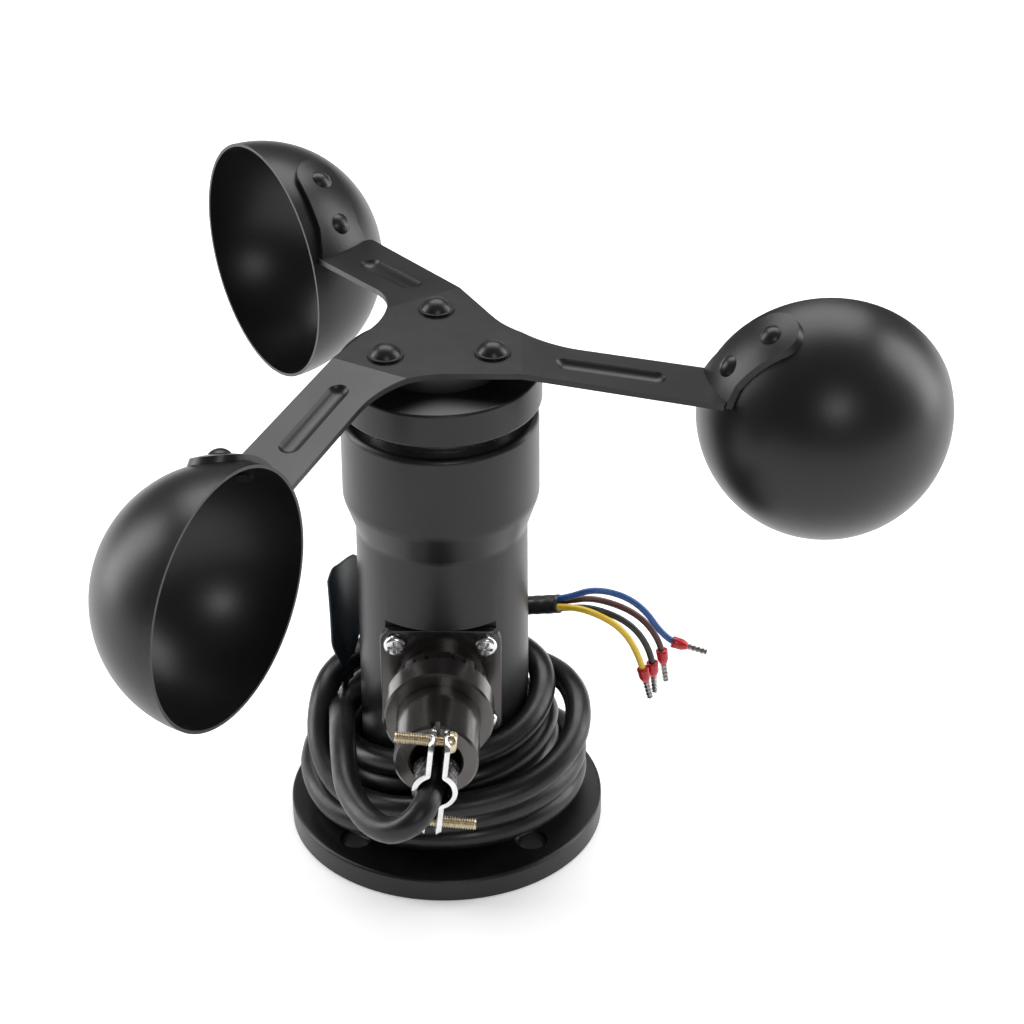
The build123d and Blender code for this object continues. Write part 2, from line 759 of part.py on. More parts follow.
with BuildPart() as receptacle_shell:
    with BuildSketch(port(flange_back)):
        RectangleRounded(port_flange_size, port_flange_size, 3.0)
    extrude(amount=port_flange_thickness)
    fillet(receptacle_shell.faces().sort_by(Axis.Y)[0].edges(), 0.35)
    with BuildSketch(port(flange_front)):
        Circle(barrel_radius)
    extrude(amount=barrel_length)
    with Locations(port(bayonet_depth)):
        with PolarLocations(barrel_radius - 0.4, bayonet_count, start_angle=90):
            Cylinder(bayonet_pin_radius, 2.2, rotation=(0, 90, 0))
    with BuildSketch(port(flange_front + 0.001)):
        Circle(insert_radius)
    extrude(amount=barrel_length + 1, mode=Mode.SUBTRACT)
    with BuildSketch(port(flange_front + 0.001)):
        Circle(insert_radius)
    extrude(amount=-port_flange_thickness - 1, mode=Mode.SUBTRACT)
    with BuildSketch(port(flange_front)):
        with GridLocations(port_screw_spacing, port_screw_spacing, 2, 2):
            Circle(port_screw_radius + slip)
    extrude(amount=-port_flange_thickness, mode=Mode.SUBTRACT)
save(receptacle_shell.part, "receptacle_shell")

with BuildPart() as receptacle_screws:
    with BuildSketch(port(flange_front)):
        with GridLocations(port_screw_spacing, port_screw_spacing, 2, 2):
            Circle(port_screw_radius)
    extrude(amount=-port_screw_length)
    with BuildSketch(port(flange_front)):
        with GridLocations(port_screw_spacing, port_screw_spacing, 2, 2):
            Circle(2 * port_screw_radius - 0.1)
    extrude(amount=1.9)
    fillet(receptacle_screws.faces().sort_by(Axis.Y)[:4].edges(), 1.1)
    with BuildSketch(port(flange_front + 2.0)):
        with GridLocations(port_screw_spacing, port_screw_spacing, 2, 2):
            Rectangle(3.0, 0.7)
            Rectangle(0.7, 3.0)
    extrude(amount=-1.1, mode=Mode.SUBTRACT)
save(receptacle_screws.part, "receptacle_screws")

with BuildPart() as receptacle_insert:
    with BuildSketch(port(port_seat - 4.5)):
        Circle(insert_radius - slip)
    extrude(amount=flange_front - port_seat + 4.5)
    with BuildSketch(port(port_seat - 4.5)):
        with PolarLocations(pin_circle, pin_count, start_angle=45):
            Circle(pin_radius + 0.02)
    extrude(amount=20, mode=Mode.SUBTRACT)
save(receptacle_insert.part, "receptacle_insert")

with BuildPart() as receptacle_pins:
    with BuildSketch(port(port_seat - 7.5)):
        with PolarLocations(pin_circle, pin_count, start_angle=45):
            Circle(pin_radius)
    extrude(amount=flange_front + 9.0 - port_seat + 7.5)
save(receptacle_pins.part, "receptacle_pins")

# ---- Plug: back shell, insert, seal, wave washer and the bayonet ring that turns round them ----
collar_back = barrel_front + 1.0
collar_front = ring_front - ring_wall - 0.9
with BuildPart() as plug_backshell:
    with BuildSketch(port_profile):
        Polygon(
            (insert_radius - 1.1, flange_front + 1.2),
            (insert_radius - slip, flange_front + 1.2),
            (insert_radius - slip, collar_back),
            (ring_groove - 0.3, collar_back),
            (ring_groove - 0.3, collar_front),
            (shell_radius, collar_front),
            (shell_radius, shell_front - 0.6),
            (shell_radius - 0.6, shell_front),
            (shell_radius - 3.6, shell_front),
            (shell_radius - 4.2, shell_front - 0.6),
            (shell_radius - 4.2, shell_front - 3.0),
            (insert_radius - 1.1, shell_front - 6.0),
            align=None,
        )
    revolve(axis=port_axis)
    with BuildSketch(port(shell_front)):
        with Locations((0, shell_radius)):
            Rectangle(2.3, 9.0)
    extrude(amount=-2.2, mode=Mode.SUBTRACT)
save(plug_backshell.part, "plug_backshell")

with BuildPart() as plug_insert:
    with BuildSketch(port(flange_front + 1.4)):
        Circle(insert_radius - 1.1 - slip)
    extrude(amount=16.0)
    with BuildSketch(port(flange_front + 1.4)):
        with PolarLocations(pin_circle, pin_count, start_angle=45):
            Circle(1.5)
    extrude(amount=16.0, mode=Mode.SUBTRACT)
save(plug_insert.part, "plug_insert")

with BuildPart() as plug_sockets:
    with BuildSketch(port(flange_front + 1.6)):
        with PolarLocations(pin_circle, pin_count, start_angle=45):
            Circle(1.5 - slip)
    extrude(amount=18.0)
    with BuildSketch(port(flange_front + 1.6)):
        with PolarLocations(pin_circle, pin_count, start_angle=45):
            Circle(pin_radius + slip)
    extrude(amount=9.0, mode=Mode.SUBTRACT)
save(plug_sockets.part, "plug_sockets")

with BuildPart() as plug_seal:
    with BuildSketch(port(barrel_front + 0.02)):
        annulus(barrel_radius - 0.1, insert_radius + 0.1)
    extrude(amount=0.96)
save(plug_seal.part, "plug_seal")

with BuildPart() as wave_washer:
    with BuildSketch(port(collar_front + 0.1)):
        annulus(ring_groove - 0.4, shell_radius + 0.1)
    extrude(amount=0.5)
save(wave_washer.part, "wave_washer")

with BuildPart() as coupling_ring:
    with BuildSketch(port_profile):
        Polygon(
            (barrel_radius + running, ring_back),
            (ring_radius - 1.8, ring_back),
            (ring_radius - 1.2, ring_back + 0.6),
            (ring_radius - 1.2, ring_back + 4.0),
            (ring_radius, ring_back + 5.2),
            (ring_radius, ring_front - 0.5),
            (ring_radius - 0.5, ring_front),
            (shell_radius + running, ring_front),
            (shell_radius + running, ring_front - ring_wall),
            (ring_groove, ring_front - ring_wall),
            (ring_groove, ring_back + ring_lip - bayonet_play),
            (barrel_radius + running, ring_back + ring_lip - bayonet_play),
            align=None,
        )
    revolve(axis=port_axis)
    with BuildSketch(port(ring_back)):
        with PolarLocations(barrel_radius, bayonet_count, start_angle=90 - lock_turn):
            Rectangle(2 * (ring_groove - barrel_radius), 2 * bayonet_pin_radius + 0.4)
    extrude(amount=ring_lip, mode=Mode.SUBTRACT)
    with BuildSketch(port(ring_back)):
        with PolarLocations(ring_radius - 1.2, 24):
            Circle(0.45)
    extrude(amount=4.0, mode=Mode.SUBTRACT)
save(coupling_ring.part, "coupling_ring")

# ---- Cable clamp: two stamped saddles squeezed together by two screws ----
saddle_inner = cable_radius + slip
saddle_outer = saddle_inner + clamp_strip
ear_gap = 1.1
ear_reach = clamp_screw_offset + 2.6
clamp_centre_height = port_height - cable_exit_drop
clamp_plane = Plane(
    origin=(0, -shell_front, clamp_centre_height),
    x_dir=(cos(radians(clamp_lean)), 0, sin(radians(clamp_lean))),
    z_dir=(0, -1, 0),
)
for side, name in ((-1, "left"), (1, "right")):
    with BuildPart() as clamp_saddle:
        with BuildSketch(clamp_plane):
            Circle(saddle_outer)
            with Locations((side * (ear_gap + clamp_strip / 2), 0)):
                Rectangle(clamp_strip, 2 * ear_reach)
            Circle(saddle_inner, mode=Mode.SUBTRACT)
            with Locations((side * (ear_gap - 20), 0)):
                Rectangle(40, 60, mode=Mode.SUBTRACT)
        extrude(amount=clamp_depth)
        for screw_side in (-1, 1):
            with BuildSketch(
                Plane(
                    origin=clamp_plane.from_local_coords((0, screw_side * clamp_screw_offset, clamp_depth / 2)),
                    x_dir=clamp_plane.z_dir,
                    z_dir=clamp_plane.x_dir,
                )
            ):
                Circle(clamp_screw_radius + slip)
            extrude(amount=12, both=True, mode=Mode.SUBTRACT)
    save(clamp_saddle.part, f"clamp_saddle_{name}")

with BuildPart() as clamp_screws:
    for screw_side in (-1, 1):
        head_start = ear_gap + clamp_strip
        screw_plane = Plane(
            origin=clamp_plane.from_local_coords((0, screw_side * clamp_screw_offset, clamp_depth / 2)),
            x_dir=clamp_plane.z_dir,
            z_dir=clamp_plane.x_dir * screw_side,
        )
        with BuildSketch(screw_plane.offset(head_start)):
            Circle(clamp_screw_radius)
        extrude(amount=-clamp_screw_length)
        with BuildSketch(screw_plane.offset(head_start)):
            Circle(clamp_head_radius)
        extrude(amount=clamp_head_height)
        with BuildSketch(screw_plane.offset(head_start + clamp_head_height)):
            Rectangle(2 * clamp_head_radius + 1, 0.7)
        extrude(amount=-0.9, mode=Mode.SUBTRACT)
save(clamp_screws.part, "clamp_screws")


cable_start = shell_front - 8.0


# ---- Cable: lead, coil round the foot, and the tail with its four cores ----
def corner_radii(points):
    """Each corner's arc is as large as its two runs allow."""
    radii = []
    for before, corner, after in zip(points, points[1:], points[2:]):
        run_in = Vector(*corner) - Vector(*before)
        run_out = Vector(*after) - Vector(*corner)
        half_turn = radians(run_in.get_angle(run_out)) / 2
        radii.append(0.45 * min(run_in.length, run_out.length) / tan(half_turn))
    return radii


def cord(points, radius, name):
    """A round cord along straight runs joined by tangent arcs; prints its bends and checks its volume."""
    radii = corner_radii(points)
    with BuildPart() as tube:
        with BuildLine() as route:
            FilletPolyline(*points, radius=radii)
        with BuildSketch(Plane(origin=route.line @ 0, z_dir=route.line % 0)):
            Circle(radius)
        sweep()
    length = sum(edge.length for edge in route.line.edges())
    ratio = tube.part.volume / (pi * radius**2 * length)
    print(name, "length", round(length, 1), "radii", [round(r, 1) for r in radii], "volume", round(ratio, 3))
    return tube.part


lead_route = [
    (0.0, -cable_start, clamp_centre_height),
    (0.0, -shell_front - 15.0, clamp_centre_height),
    (-11.0, -shell_front - 15.0, coil_top + 4.1),
    (-21.5, -shell_front + 1.0, coil_top + 4.1),
    (-24.0, -33.0, coil_top + 6.1),
    (-25.5, -12.0, coil_top + 1.6),
    (-26.6, -1.0, coil_top - 4.3),
]
save(cord(lead_route, cable_radius, "cable_lead"), "cable_lead")

coil_inner = body_radius + coil_gap
coil_bottom = base_thickness + slip
with BuildPart() as cable_coil:
    with BuildSketch(Plane.XZ):
        with BuildLine():
            FilletPolyline(
                (coil_inner, coil_bottom),
                (coil_outer, coil_bottom),
                (coil_outer, coil_top),
                (coil_inner, coil_top),
                radius=[1.5, 3.0, 3.0, 1.5],
                close=True,
            )
        make_face()
    revolve(axis=Axis.Z)
save(cable_coil.part, "cable_coil")

tail_route = [
    (-13.0, coil_outer - 2.4, coil_top - 2.4),
    (-4.0, 33.5, coil_top + 4.1),
    (7.3, 25.5, coil_top + 8.9),
    (16.9, 21.3, coil_top + 12.3),
]
save(cord(tail_route, cable_radius, "cable_tail"), "cable_tail")

# The sleeve grips the end of the sheath and narrows over the four cores.
tail_end = Vector(*tail_route[-1])
tail_direction = (tail_end - Vector(*tail_route[-2])).normalized()
level_side = Vector(tail_direction.Y, -tail_direction.X, 0).normalized()
sleeve_plane = Plane(origin=tail_end, x_dir=level_side, z_dir=level_side.cross(tail_direction))
grip_bore = cable_radius + 0.02
grip_radius = grip_bore + sleeve_wall
with BuildPart() as heat_shrink:
    with BuildSketch(sleeve_plane):
        Polygon(
            (grip_bore, -sleeve_grip),
            (grip_radius, -sleeve_grip),
            (grip_radius, 0.4),
            (sleeve_radius, 2.4),
            (sleeve_radius, sleeve_length),
            (sleeve_radius - sleeve_wall, sleeve_length),
            (sleeve_radius - sleeve_wall, 2.1),
            (grip_bore, 0.3),
            align=None,
        )
    revolve(axis=Axis(tail_end, tail_direction))
save(heat_shrink.part, "heat_shrink")

# Each core leaves the sheath at its own place round the cable's middle and bends away past the sleeve.
core_face = Plane(origin=tail_end + tail_direction * slip, x_dir=level_side, z_dir=tail_direction)
core_routes = {
    "blue": [(0, -core_lay), (38.5, 15.8, 58.2), (49.5, 15.6, 54.0), (56.3, 15.4, 42.6), (59.6, 15.4, 41.4)],
    "brown": [(-core_lay, 0), (38.0, 17.0, 54.4), (49.0, 17.0, 49.8), (55.0, 16.6, 41.6), (55.6, 16.4, 37.1)],
    "black": [(0, core_lay), (38.0, 12.8, 54.0), (47.5, 12.6, 49.4), (52.6, 13.0, 40.6), (53.1, 13.2, 35.4)],
    "yellow": [(core_lay, 0), (37.0, 11.0, 54.2), (45.2, 10.9, 49.0), (49.6, 10.9, 40.4), (50.8, 10.9, 35.2)],
}
ferrule_places = []
for colour, (face_place, *bends) in core_routes.items():
    route = [
        tuple(core_face.from_local_coords((*face_place, 0))),
        tuple(core_face.from_local_coords((*face_place, sleeve_length + 1.5))),
        *bends,
    ]
    save(cord(route, core_radius, f"core_{colour}"), f"core_{colour}")
    end = Vector(*route[-1])
    ferrule_places.append((end, (end - Vector(*route[-2])).normalized()))

with BuildPart() as ferrule_collars:
    for end, direction in ferrule_places:
        with BuildSketch(Plane(origin=end - direction * 1.6, z_dir=direction)):
            annulus(collar_end_radius, core_radius + 0.02)
        extrude(amount=3.0)
        with BuildSketch(Plane(origin=end + direction * 1.4, z_dir=direction)):
            Circle(collar_end_radius)
        extrude(amount=1.2, taper=22)
save(ferrule_collars.part, "ferrule_collars")

with BuildPart() as ferrule_tubes:
    for end, direction in ferrule_places:
        with BuildSketch(Plane(origin=end + direction * 2.6, z_dir=direction)):
            Rectangle(1.4, 1.2)
        extrude(amount=5.0)
save(ferrule_tubes.part, "ferrule_tubes")

# ---- Flag tag standing on the coil at the left of the housing ----
tag_plane = Plane(origin=(-28.9, 1.2, 0), x_dir=(7, 17, 0), z_dir=(17, -7, 0))
with BuildPart() as cable_tag:
    with BuildSketch(tag_plane):
        with BuildLine():
            FilletPolyline(
                (6.0, coil_top - 1.8),
                (6.0, coil_top + 4.0),
                (0.0, coil_top + 18.0),
                (0.0, coil_top + 36.0),
                (17.5, coil_top + 31.0),
                (17.5, coil_top + 16.0),
                (12.0, coil_top + 4.0),
                (12.0, coil_top - 1.8),
                radius=[0.5, 4.0, 8.0, 4.0, 3.0, 6.0, 4.0, 0.5],
                close=True,
            )
        make_face()
    extrude(amount=tag_thickness / 2, both=True)
save(cable_tag.part, "cable_tag")

# ---- Wires inside: board to receptacle, and plug sockets to cable ----
pin_back = port_seat - 7.5
socket_back = flange_front + 1.6 + 18.0
inner_wire_parts = []
for index in range(pin_count):
    turn = radians(45 + index * 360 / pin_count)
    x = pin_circle * cos(turn)
    z = port_height + pin_circle * sin(turn)
    side = 1 if x > 0 else -1
    reach = 1.0 if z > port_height else 5.0
    inner_route = [
        (x, -pin_back + 0.12, z),
        (x, -pin_back + 5.0, z + 0.6),
        (x + side * 1.5, reach - 2.0, z + 8.0),
        (x + side * 1.5, reach, board_bottom - 10.0),
        (x + side * 1.5, reach, board_bottom - 0.02),
    ]
    inner_wire_parts.append(cord(inner_route, wire_radius, f"inner_wire_{index}"))
    core_x = 0.9 * side
    core_z = clamp_centre_height + (0.9 if z > port_height else -0.9)
    plug_route = [
        (x, -socket_back - 0.02, z),
        (x, -socket_back - 2.0, z),
        (core_x, -cable_start + 2.0, core_z),
        (core_x, -cable_start + 0.02, core_z),
    ]
    inner_wire_parts.append(cord(plug_route, wire_radius, f"plug_wire_{index}"))
save(Compound(children=inner_wire_parts), "inner_wires")
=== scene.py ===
"""Cup anemometer: the look of every piece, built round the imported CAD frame. All lengths are in metres."""

import json
import math

import bpy
import numpy as np
from mathutils import Matrix, Vector


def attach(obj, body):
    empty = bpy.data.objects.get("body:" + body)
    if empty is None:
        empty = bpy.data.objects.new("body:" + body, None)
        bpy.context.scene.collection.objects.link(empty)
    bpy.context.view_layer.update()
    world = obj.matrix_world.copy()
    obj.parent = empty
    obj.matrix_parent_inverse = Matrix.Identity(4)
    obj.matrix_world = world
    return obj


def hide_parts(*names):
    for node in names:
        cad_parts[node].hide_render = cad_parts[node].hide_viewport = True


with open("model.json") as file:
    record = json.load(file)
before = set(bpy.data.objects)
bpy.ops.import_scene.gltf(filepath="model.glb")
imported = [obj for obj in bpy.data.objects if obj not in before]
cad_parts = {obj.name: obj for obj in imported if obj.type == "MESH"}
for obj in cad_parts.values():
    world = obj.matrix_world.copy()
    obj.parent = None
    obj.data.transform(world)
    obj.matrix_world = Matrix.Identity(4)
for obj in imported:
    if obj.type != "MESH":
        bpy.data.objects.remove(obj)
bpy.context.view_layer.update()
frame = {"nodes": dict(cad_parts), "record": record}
nodes = frame["nodes"]
MM = 0.001

# ---- Driving sizes, shared with the frame ----
CABLE_RADIUS = 3.3 * MM
CORE_RADIUS = 0.85 * MM
SHELL_FRONT = 53.0 * MM
CLAMP_HEIGHT = 50.2 * MM
CLAMP_LEAN = math.radians(-6)
CLAMP_DEPTH = 9.0 * MM
CLAMP_SCREW_OFFSET = 11.75 * MM
CLAMP_SCREW_RADIUS = 1.5 * MM
CLAMP_HEAD_RADIUS = 2.75 * MM
CLAMP_HEAD_HEIGHT = 1.9 * MM
CLAMP_THREAD_FAR = 10.9 * MM
CLAMP_THREAD_NEAR = 2.6 * MM
CLAMP_SEAT = 2.3 * MM
CLAMP_PITCH = 0.6 * MM
SADDLE_GAP = 1.65 * MM
SADDLE_BULGE = CABLE_RADIUS + 1.25 * MM
SADDLE_REACH = 13.9 * MM
SADDLE_STRIP = 1.3 * MM
SLEEVE_RADIUS = 2.45 * MM
SLEEVE_LENGTH = 14.0 * MM
SLEEVE_GRIP = 5.5 * MM
SLEEVE_WALL = 0.35 * MM
SLEEVE_TAPER = 2.4 * MM
PORT_HEIGHT = 52.5 * MM
FLANGE_FRONT = 18.8 * MM
PORT_SCREW_OFFSET = 11.2 * MM
PORT_SCREW_RADIUS = 1.5 * MM
PORT_SCREW_LENGTH = 6.0 * MM
PORT_HEAD_RADIUS = 2.9 * MM
PORT_HEAD_HEIGHT = 2.0 * MM
CORE_LAY = 1.22 * MM
INSIDE_SHEATH = 8.0 * MM
TAG_FOOT = 32.6 * MM
TAG_TOP = 72.4 * MM
TAG_WIDTH = 17.5 * MM
TAG_FILM = 0.6 * MM


# ---- Small helpers ----
def link(obj):
    bpy.context.scene.collection.objects.link(obj)
    return obj


def grid_faces(rows, columns, wrap=False):
    """Quads of a rows by columns grid of vertices, closed across the last column when wrap is set."""
    r = np.arange(rows - 1)[:, None]
    c = np.arange(columns if wrap else columns - 1)[None, :]
    following = (c + 1) % columns
    quads = np.stack(
        [r * columns + c, r * columns + following, (r + 1) * columns + following, (r + 1) * columns + c],
        axis=-1,
    )
    return quads.reshape(-1, 4)


def mesh_piece(name, points, faces, material, smooth=True):
    """A mesh object from an array of points and a list of faces, shaded smooth."""
    mesh = bpy.data.meshes.new(name)
    mesh.from_pydata(np.asarray(points, float).reshape(-1, 3).tolist(), [], [list(map(int, f)) for f in faces])
    mesh.validate()
    mesh.materials.append(material)
    mesh.polygons.foreach_set("use_smooth", np.full(len(mesh.polygons), smooth))
    mesh.update()
    return link(bpy.data.objects.new(name, mesh))


def surface_piece(name, points, material, wrap=False, caps=False):
    """A grid of points (rows, columns, 3) as one surface, with its end rows closed when caps is set."""
    rows, columns = points.shape[:2]
    faces = [tuple(f) for f in grid_faces(rows, columns, wrap)]
    if caps:
        faces.append(tuple(range(columns - 1, -1, -1)))
        faces.append(tuple((rows - 1) * columns + i for i in range(columns)))
    return mesh_piece(name, points, faces, material)


def join_pieces(name, parts):
    """Several mesh objects made one, in their order."""
    bpy.ops.object.select_all(action="DESELECT")
    for part in parts:
        part.select_set(True)
    bpy.context.view_layer.objects.active = parts[0]
    bpy.ops.object.join()
    parts[0].name = name
    parts[0].data.name = name
    return parts[0]


def axes_along(path):
    """Tangent, side and up vectors at each point of a path, turned as little as possible from point to point."""
    path = np.asarray(path, float)
    tangent = np.gradient(path, axis=0)
    tangent /= np.linalg.norm(tangent, axis=1, keepdims=True)
    side = np.empty_like(tangent)
    seed = np.cross(tangent[0], (0.0, 0.0, 1.0))
    if np.linalg.norm(seed) < 0.1:
        seed = np.cross(tangent[0], (0.0, 1.0, 0.0))
    side[0] = seed / np.linalg.norm(seed)
    for i in range(1, len(path)):
        s = side[i - 1] - np.dot(side[i - 1], tangent[i]) * tangent[i]
        side[i] = s / np.linalg.norm(s)
    return tangent, side, np.cross(tangent, side)


def tube_along(name, path, radii, material, columns=32):
    """A round tube: the circle of each path point's radius, in the plane square to the path, with flat ends."""
    path = np.asarray(path, float)
    _, side, up = axes_along(path)
    turn = np.linspace(0, 2 * np.pi, columns, endpoint=False)
    ring = side[:, None] * np.cos(turn)[None, :, None] + up[:, None] * np.sin(turn)[None, :, None]
    points = path[:, None] + ring * np.asarray(radii, float)[:, None, None]
    return surface_piece(name, points, material, wrap=True, caps=True)


def spline_curve(name, points, radius, material):
    """A round cord whose centreline is one NURBS spline with the given control points."""
    data = bpy.data.curves.new(name, "CURVE")
    data.dimensions = "3D"
    data.resolution_u = 6
    data.bevel_depth = radius
    data.bevel_resolution = 5
    data.use_fill_caps = True
    spline = data.splines.new("NURBS")
    spline.points.add(len(points) - 1)
    for place, point in zip(spline.points, points):
        place.co = (*point, 1.0)
    spline.order_u = 3
    spline.use_endpoint_u = True
    data.materials.append(material)
    return link(bpy.data.objects.new(name, data))


def spline_length(curve):
    """The length of a curve's NURBS spline, measured along the points it gives without its bevel."""
    depth, caps = curve.data.bevel_depth, curve.data.use_fill_caps
    curve.data.bevel_depth, curve.data.use_fill_caps = 0.0, False
    bpy.context.view_layer.update()
    line = bpy.data.meshes.new_from_object(curve.evaluated_get(bpy.context.evaluated_depsgraph_get()))
    path = np.array([v.co[:] for v in line.vertices])
    bpy.data.meshes.remove(line)
    curve.data.bevel_depth, curve.data.use_fill_caps = depth, caps
    bpy.context.view_layer.update()
    return float(np.linalg.norm(np.diff(path, axis=0), axis=1).sum())


# ---- Shared shader groups ----
def new_group(name, inputs, outputs):
    group = bpy.data.node_groups.new(name, "ShaderNodeTree")
    for label, value in inputs:
        socket = group.interface.new_socket(label, in_out="INPUT", socket_type="NodeSocketFloat")
        socket.default_value = value
    for label in outputs:
        group.interface.new_socket(label, in_out="OUTPUT", socket_type="NodeSocketFloat")
    return group, group.nodes.new("NodeGroupInput"), group.nodes.new("NodeGroupOutput")


def grain_group():
    """Fine grain for bump, and slow clouds for tone and gloss, both from noise on object coordinates."""
    group, source, sink = new_group("coating_grain", [("Fine", 2500.0), ("Slow", 60.0)], ["Grain", "Cloud"])
    place = group.nodes.new("ShaderNodeTexCoord")
    for scale, detail, output in (("Fine", 3.0, "Grain"), ("Slow", 5.0, "Cloud")):
        noise = group.nodes.new("ShaderNodeTexNoise")
        noise.inputs["Detail"].default_value = detail
        group.links.new(place.outputs["Object"], noise.inputs["Vector"])
        group.links.new(source.outputs[scale], noise.inputs["Scale"])
        spread = group.nodes.new("ShaderNodeMapRange")
        spread.inputs["From Min"].default_value = 0.3
        spread.inputs["From Max"].default_value = 0.7
        group.links.new(noise.outputs["Fac"], spread.inputs["Value"])
        group.links.new(spread.outputs["Result"], sink.inputs[output])
    return group


def wear_group():
    """Worn edges: where the surface is sharply convex, broken up by noise; and sparse dust specks."""
    group, source, sink = new_group("edge_wear", [("Amount", 1.0), ("Speck Scale", 900.0)], ["Wear", "Dust"])
    shape = group.nodes.new("ShaderNodeNewGeometry")
    edge = group.nodes.new("ShaderNodeMapRange")
    edge.inputs["From Min"].default_value = 0.53
    edge.inputs["From Max"].default_value = 0.62
    group.links.new(shape.outputs["Pointiness"], edge.inputs["Value"])
    place = group.nodes.new("ShaderNodeTexCoord")
    noise = group.nodes.new("ShaderNodeTexNoise")
    noise.inputs["Scale"].default_value = 260.0
    noise.inputs["Detail"].default_value = 6.0
    group.links.new(place.outputs["Object"], noise.inputs["Vector"])
    broken = group.nodes.new("ShaderNodeMath")
    broken.operation = "MULTIPLY"
    group.links.new(edge.outputs["Result"], broken.inputs[0])
    group.links.new(noise.outputs["Fac"], broken.inputs[1])
    scaled = group.nodes.new("ShaderNodeMath")
    scaled.operation = "MULTIPLY"
    scaled.use_clamp = True
    group.links.new(broken.outputs[0], scaled.inputs[0])
    group.links.new(source.outputs["Amount"], scaled.inputs[1])
    group.links.new(scaled.outputs[0], sink.inputs["Wear"])
    cells = group.nodes.new("ShaderNodeTexVoronoi")
    group.links.new(place.outputs["Object"], cells.inputs["Vector"])
    group.links.new(source.outputs["Speck Scale"], cells.inputs["Scale"])
    speck = group.nodes.new("ShaderNodeMapRange")
    speck.inputs["From Min"].default_value = 0.10
    speck.inputs["From Max"].default_value = 0.04
    group.links.new(cells.outputs["Distance"], speck.inputs["Value"])
    group.links.new(speck.outputs["Result"], sink.inputs["Dust"])
    return group


GRAIN = grain_group()
WEAR = wear_group()


def finish(name, colour, roughness, metallic=0.0, tone=0.15, gloss=0.08, fine=2500.0, slow=60.0,
           bump=0.00001, wear=0.0, wear_colour=(0.3, 0.3, 0.31), dust=0.0, coat=0.0, specular=0.5):
    """A Principled finish: tone and gloss are how far colour and roughness vary, bump is in metres."""
    material = bpy.data.materials.new(name)
    material.use_nodes = True
    tree = material.node_tree
    shader = tree.nodes["Principled BSDF"]
    shader.inputs["Metallic"].default_value = metallic
    shader.inputs["Specular IOR Level"].default_value = specular
    shader.inputs["Coat Weight"].default_value = coat
    shader.inputs["Coat Roughness"].default_value = 0.15
    grain = tree.nodes.new("ShaderNodeGroup")
    grain.node_tree = GRAIN
    grain.inputs["Fine"].default_value = fine
    grain.inputs["Slow"].default_value = slow
    colours = tree.nodes.new("ShaderNodeMix")
    colours.data_type = "RGBA"
    colours.inputs["A"].default_value = (*[c * (1 - tone) for c in colour], 1)
    colours.inputs["B"].default_value = (*[min(1.0, c * (1 + tone)) for c in colour], 1)
    tree.links.new(grain.outputs["Cloud"], colours.inputs["Factor"])
    last = colours.outputs["Result"]
    if wear or dust:
        marks = tree.nodes.new("ShaderNodeGroup")
        marks.node_tree = WEAR
        marks.inputs["Amount"].default_value = wear
        for output, amount, shade in (("Wear", wear, wear_colour), ("Dust", dust, (0.25, 0.25, 0.26))):
            if not amount:
                continue
            layer = tree.nodes.new("ShaderNodeMix")
            layer.data_type = "RGBA"
            layer.inputs["B"].default_value = (*shade, 1)
            strength = tree.nodes.new("ShaderNodeMath")
            strength.operation = "MULTIPLY"
            strength.inputs[1].default_value = min(1.0, amount)
            tree.links.new(marks.outputs[output], strength.inputs[0])
            tree.links.new(strength.outputs[0], layer.inputs["Factor"])
            tree.links.new(last, layer.inputs["A"])
            last = layer.outputs["Result"]
    tree.links.new(last, shader.inputs["Base Color"])
    rough = tree.nodes.new("ShaderNodeMapRange")
    rough.inputs["To Min"].default_value = max(0.03, roughness - gloss)
    rough.inputs["To Max"].default_value = roughness + gloss
    tree.links.new(grain.outputs["Cloud"], rough.inputs["Value"])
    tree.links.new(rough.outputs["Result"], shader.inputs["Roughness"])
    if bump:
        relief = tree.nodes.new("ShaderNodeBump")
        relief.inputs["Strength"].default_value = 0.6
        relief.inputs["Distance"].default_value = bump
        tree.links.new(grain.outputs["Grain"], relief.inputs["Height"])
        tree.links.new(relief.outputs["Normal"], shader.inputs["Normal"])
    return material


# ---- Finishes ----
black_coat = finish("satin_black_coat", (0.0055, 0.0053, 0.0056), 0.36, tone=0.12, gloss=0.03, fine=2200,
                    slow=45, bump=0.000012, wear=0.5, wear_colour=(0.07, 0.07, 0.07), dust=0.02, specular=0.42)
dark_zinc = finish("smoked_zinc_shell", (0.080, 0.074, 0.071), 0.24, metallic=0.8, tone=0.10, gloss=0.04,
                   fine=1500, slow=120, bump=0.000008, wear=0.35, wear_colour=(0.4, 0.39, 0.37), coat=0.3)
bright_zinc = finish("bright_zinc", (0.70, 0.70, 0.71), 0.22, metallic=1.0, tone=0.14, gloss=0.10,
                     fine=1800, slow=700, bump=0.000012)
ground_steel = finish("ground_steel", (0.56, 0.56, 0.57), 0.28, metallic=1.0, tone=0.08, fine=3500, bump=0.00001)
ball_steel = finish("ball_steel", (0.75, 0.75, 0.76), 0.08, metallic=1.0, tone=0.03, gloss=0.02, bump=0.0)
brass = finish("thread_brass", (0.58, 0.50, 0.36), 0.28, metallic=1.0, tone=0.10, gloss=0.06, fine=2400,
               slow=500, bump=0.000004)
aluminium = finish("turned_aluminium", (0.78, 0.78, 0.79), 0.34, metallic=1.0, tone=0.06, fine=3000)
rubber = finish("seal_rubber", (0.02, 0.02, 0.02), 0.7, tone=0.2, fine=1800, bump=0.00003)
